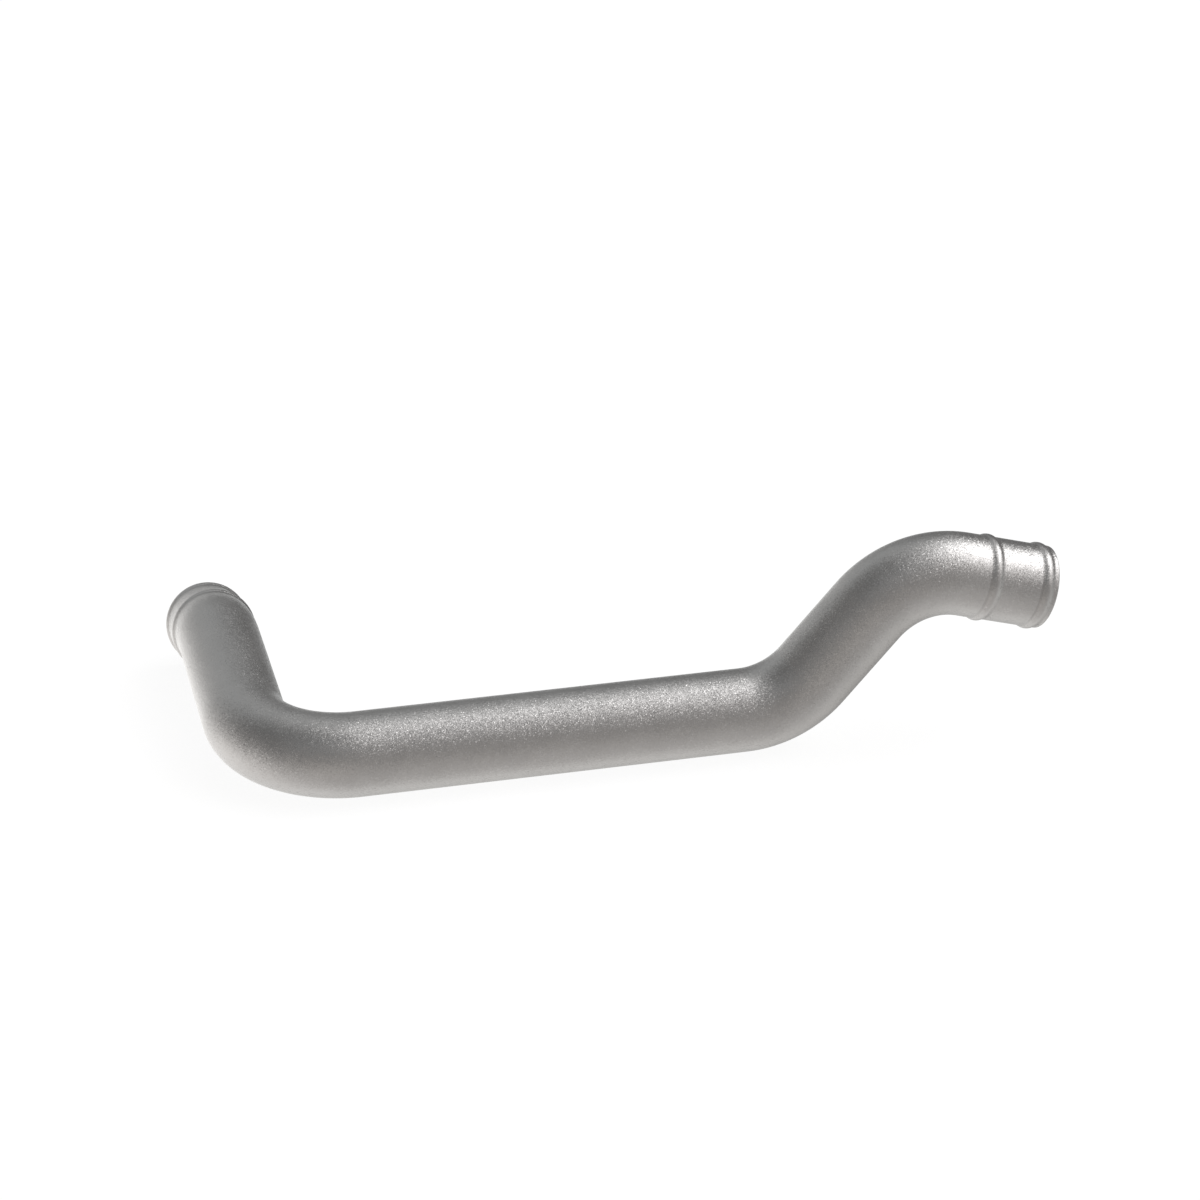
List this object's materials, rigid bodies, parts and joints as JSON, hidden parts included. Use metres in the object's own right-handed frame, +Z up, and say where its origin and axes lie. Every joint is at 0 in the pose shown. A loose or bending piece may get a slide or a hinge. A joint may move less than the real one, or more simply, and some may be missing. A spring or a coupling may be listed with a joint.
{
  "type": "intercooler pipe",
  "caption": "Hollow aluminium tube bent into a flat L with a rising offset at one end and rolled hose beads at both mouths, which carries charge air between an intercooler and its hoses",
  "frame": {"origin": "On the surface that the pipe lies on, under the middle of its bounding box", "axes": "+X runs along the long straight towards the offset end, +Y goes from the long straight towards the elbow end's mouth, +Z points up"},
  "size_m": [0.6458, 0.325, 0.1596],
  "materials": {
    "pipe": "bead-blasted satin"
  },
  "bodies": {
    "root": {"pipe": "pipe"}
  },
  "joints": []
}
